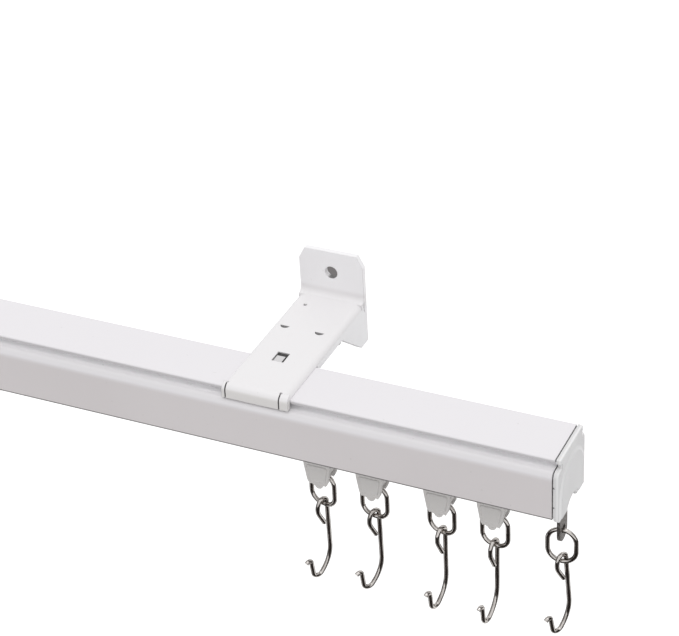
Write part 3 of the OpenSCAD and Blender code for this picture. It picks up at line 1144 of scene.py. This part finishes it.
@dataclass
class Runner:
    """A wheeled runner with its ring and curtain hook.

    Attributes:
        number: Its place along the rail, from the left.
        pad_top: Half width of the raised pad on the lug, at its upper edge.
        pad_low: Half width of the pad at its lower edge.
        pad_height: Height of the pad.
        pad_foot: How far the pad's lower edge is above the lug's lowest point.
        pad_rise: How far the pad stands out.
        pad_round: Radius of the pad's corners.
        pad_slope: How far the pad's rim leans in.
    """

    number: int
    pad_top: float = 0.0036
    pad_low: float = 0.0027
    pad_height: float = 0.0060
    pad_foot: float = 0.0032
    pad_rise: float = 0.0002
    pad_round: float = 0.0008
    pad_slope: float = 0.00035

    def build(self, shop: Paintshop) -> None:
        """Adds the moulded pads to the front and the rear of the lug.

        Args:
            shop: The shop that dresses them.
        """
        low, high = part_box(f"runner_{self.number}_carrier")
        middle = (low.x + high.x) / 2
        foot = low.z + self.pad_foot
        outline = rounded_outline(
            [
                (-self.pad_low, 0.0),
                (self.pad_low, 0.0),
                (self.pad_top, self.pad_height),
                (-self.pad_top, self.pad_height),
            ],
            self.pad_round,
        )
        for label, y, facing in (("front", low.y, -1), ("rear", high.y, 1)):
            place = Matrix(((-facing, 0, 0, middle), (0, 0, facing, y), (0, 1, 0, foot), (0, 0, 0, 1)))
            shape = bmesh.new()
            add_plate(shape, outline, place, self.pad_rise, self.pad_slope)
            name = f"runner_{self.number}_lug_pad_{label}"
            pad = add_piece(name, shape, f"runner_{self.number}_carriage")
            shop.coat(pad, Slot.RUNNER)

    def dress(self, shop: Paintshop) -> None:
        """Puts the finishes on the runner's six parts.

        Args:
            shop: The shop that dresses them.
        """
        parts = {
            "carrier": Slot.RUNNER,
            "axle": Slot.STEEL,
            "wheel_front": Slot.WHEEL,
            "wheel_rear": Slot.WHEEL,
            "ring": Slot.WIRE,
            "hook": Slot.WIRE,
        }
        shop.dress({f"runner_{self.number}_{part}": slot for part, slot in parts.items()})


@dataclass
class PhotoCamera:
    """The camera that was solved from the rail's edges.

    Attributes:
        place: Where it stands.
        azimuth: Degrees it stands to the right of the room side.
        elevation: Degrees it stands above the rail.
        roll: Degrees it is turned about its own axis.
        lens: Focal length, in millimetres.
        sensor: Width of the sensor, in millimetres.
    """

    place: Place = (0.47287, -0.54243, 0.37190)
    azimuth: float = 26.225
    elevation: float = 32.824
    roll: float = -3.214
    lens: float = 117.82
    sensor: float = 36.0

    def build(self) -> None:
        """Makes the camera and gives it to the scene."""
        a, e, r = (math.radians(v) for v in (self.azimuth, self.elevation, self.roll))
        back = Vector((math.sin(a) * math.cos(e), -math.cos(a) * math.cos(e), math.sin(e)))
        level = Vector((math.cos(a), math.sin(a), 0.0))
        rise = back.cross(level)
        right = level * math.cos(r) + rise * math.sin(r)
        up = rise * math.cos(r) - level * math.sin(r)
        data = bpy.data.cameras.new("photo_camera")
        data.lens = self.lens
        data.sensor_width = self.sensor
        data.sensor_fit = "HORIZONTAL"
        data.clip_start, data.clip_end = 0.01, 50.0
        camera = bpy.data.objects.new("photo_camera", data)
        turn = Matrix((right, up, back)).transposed().to_4x4()
        camera.matrix_world = Matrix.Translation(self.place) @ turn
        bpy.context.scene.collection.objects.link(camera)
        bpy.context.scene.camera = camera


def seen_rays(sheet: NodeSheet) -> Signal:
    """Tells the rays that show a thing to the camera from those that only light it.

    Args:
        sheet: The node sheet.

    Returns:
        1 for what is seen directly, in a reflection or through clear matter, else 0.
    """
    path = sheet.node("ShaderNodeLightPath").outputs
    kinds = ("Is Camera Ray", "Is Glossy Ray", "Is Transmission Ray")
    direct, mirrored, through = (Signal(sheet, path[kind]) for kind in kinds)
    return (direct + mirrored + through).clamped()


@dataclass
class Studio:
    """A pale floor, plain soft light and the dark cards that bright metal reflects.

    Attributes:
        floor_height: Height of the floor, well under the hooks.
        floor_size: Length of the floor's sides.
        floor_tone: Colour of the floor's paper.
        floor_glow: Light that the paper gives off where it is seen.
        world_level: Strength of the light that comes from all round.
        softbox_place: Where the softbox hangs.
        softbox_aim: The point that it faces, at the rail's right half.
        softbox_size: Length of the softbox's sides.
        softbox_power: Power of the softbox.
        card_lift: How far the lying cards are above the floor.
        card_turn: Degrees that the cards are turned about Z.
        card_tone: Colour of the cards.
        disc_radius: Radius of the grey discs behind the screw holes.
        disc_gap: How far the discs stand behind the brackets.
        disc_tone: Colour of the discs.
    """

    floor_height: float = -0.36
    floor_size: float = 14.0
    floor_tone: Colour = (0.9, 0.9, 0.9)
    floor_glow: float = 0.34
    world_level: float = 0.80
    softbox_place: Place = (0.25, -0.25, 1.3)
    softbox_aim: Place = (0.1, -0.05, -0.03)
    softbox_size: float = 0.9
    softbox_power: float = 4.8
    card_lift: float = 0.01
    card_turn: float = 26.0
    card_tone: Colour = (0.035, 0.03, 0.028)
    disc_radius: float = 0.006
    disc_gap: float = 0.0008
    disc_tone: Colour = (0.19, 0.18, 0.18)

    def build(self) -> None:
        """Makes the world, the floor, the softbox, the cards and the discs."""
        bpy.context.scene.view_settings.view_transform = "Standard"
        self._world()
        self._floor()
        self._softbox()
        level = self.floor_height + self.card_lift
        for name, place, size, lean in (
            ("dark_front_card", (0.58, -0.77, level), (2.8, 1.5), 0.0),
            ("dark_rear_card", (-0.45, 0.45, level), (1.3, 1.3), 0.0),
            ("dark_side_card", (1.20, 0.35, level), (0.7, 1.0), 0.0),
            ("dark_right_card", (1.15, 0.15, 0.0), (1.7, 0.8), 90.0),
            ("dark_left_card", (-0.85, -0.6, 0.0), (1.7, 0.8), 90.0),
        ):
            self._card(name, place, size, lean)
        for side in Side:
            self._hole_shade(side)

    def _world(self) -> None:
        """White to the camera and in reflections, a plain level as light."""
        world = bpy.data.worlds.new("studio")
        world.use_nodes = True
        bpy.context.scene.world = world
        sheet = NodeSheet(world.node_tree)
        strength = seen_rays(sheet) * (1.0 - self.world_level) + self.world_level
        back = sheet.node("ShaderNodeBackground", None, {"Color": WHITE, "Strength": strength})
        sheet.node("ShaderNodeOutputWorld", None, {"Surface": back.outputs[0]})

    @staticmethod
    def _prop(name: str, shape: bmesh.types.BMesh) -> tuple[bpy.types.Object, NodeSheet]:
        """Turns a built mesh into a thing that stands on the stage.

        Args:
            name: The thing's name.
            shape: Its mesh; it is freed here.

        Returns:
            The thing and the empty node sheet of its material.
        """
        mesh = bpy.data.meshes.new(name)
        shape.to_mesh(mesh)
        shape.free()
        prop = bpy.data.objects.new(name, mesh)
        bpy.context.scene.collection.objects.link(prop)
        material = bpy.data.materials.new(name)
        material.use_nodes = True
        mesh.materials.append(material)
        return prop, NodeSheet(material.node_tree)

    @staticmethod
    def _finish_front(sheet: NodeSheet, shader: bpy.types.Node) -> None:
        """Ends a sheet in a shader that only the front of a face shows.

        Args:
            sheet: The material's node sheet.
            shader: The shader of the front.
        """
        clear = sheet.node("ShaderNodeBsdfTransparent")
        behind = sheet.node("ShaderNodeNewGeometry").outputs["Backfacing"]
        faces = {0: behind, 1: shader.outputs[0], 2: clear.outputs[0]}
        sheet.finish(sheet.node("ShaderNodeMixShader", None, faces))

    def _floor(self) -> None:
        """A pale floor that takes the shadow, seen only from above."""
        shape = bmesh.new()
        bmesh.ops.create_grid(shape, x_segments=1, y_segments=1, size=self.floor_size / 2)
        floor, sheet = self._prop("floor", shape)
        floor.location.z = self.floor_height
        strength = seen_rays(sheet) * self.floor_glow
        paper = sheet.node("ShaderNodeBsdfDiffuse", None, {"Color": self.floor_tone})
        glow = sheet.node("ShaderNodeEmission", None, {"Color": WHITE, "Strength": strength})
        both = sheet.node("ShaderNodeAddShader", None, {0: paper.outputs[0], 1: glow.outputs[0]})
        self._finish_front(sheet, both)

    def _softbox(self) -> None:
        """A square softbox high in front of the rail's right half."""
        data = bpy.data.lights.new("overhead_softbox", "AREA")
        data.shape = "SQUARE"
        data.size = self.softbox_size
        data.energy = self.softbox_power
        lamp = bpy.data.objects.new("overhead_softbox", data)
        lamp.location = self.softbox_place
        aim = Vector(self.softbox_aim) - Vector(self.softbox_place)
        lamp.rotation_mode = "QUATERNION"
        lamp.rotation_quaternion = aim.to_track_quat("-Z", "Y")
        bpy.context.scene.collection.objects.link(lamp)

    def _card(self, name: str, place: Place, size: tuple[float, float], lean: float) -> None:
        """A dark card that only reflections see.

        Args:
            name: The card's name.
            place: Its middle.
            size: Its size along its own two sides.
            lean: Degrees it is turned about Y, 0 for a card that lies flat.
        """
        shape = bmesh.new()
        corners = ((-1, -1), (1, -1), (1, 1), (-1, 1))
        shape.faces.new([shape.verts.new((x * size[0] / 2, y * size[1] / 2, 0)) for x, y in corners])
        card, sheet = self._prop(name, shape)
        card.location = place
        card.rotation_euler = (0.0, math.radians(lean), math.radians(self.card_turn))
        sheet.finish(sheet.node("ShaderNodeEmission", None, {"Color": self.card_tone}))
        for kind in ("camera", "diffuse", "shadow", "transmission", "volume_scatter"):
            setattr(card, f"visible_{kind}", False)

    def _hole_shade(self, side: Side) -> None:
        """The grey that the photograph shows through a screw hole, seen only from the room.

        Args:
            side: The end of the rail.
        """
        low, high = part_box(f"bracket_{side.value}")
        shape = bmesh.new()
        bmesh.ops.create_circle(shape, cap_ends=True, segments=32, radius=self.disc_radius)
        disc, sheet = self._prop(f"hole_shade_{side.value}", shape)
        disc.location = ((low.x + high.x) / 2, high.y + self.disc_gap, 0.0)
        disc.rotation_euler = (math.radians(90), 0, 0)
        self._finish_front(sheet, sheet.node("ShaderNodeEmission", None, {"Color": self.disc_tone}))
        disc.visible_diffuse = False
        disc.visible_shadow = False


def main() -> None:
    """Builds the camera and the studio and dresses the track."""
    logging.basicConfig(level=logging.INFO, format="%(name)s: %(message)s")
    PhotoCamera().build()
    Studio().build()
    shop = Paintshop(Gauge.measured())
    Rail().dress(shop)
    for side in Side:
        WallBracket(side).dress(shop)
        EndStop(side).dress(shop)
    for number in range(1, RUNNER_COUNT + 1):
        runner = Runner(number)
        runner.build(shop)
        runner.dress(shop)


if __name__ == "__main__":
    main()
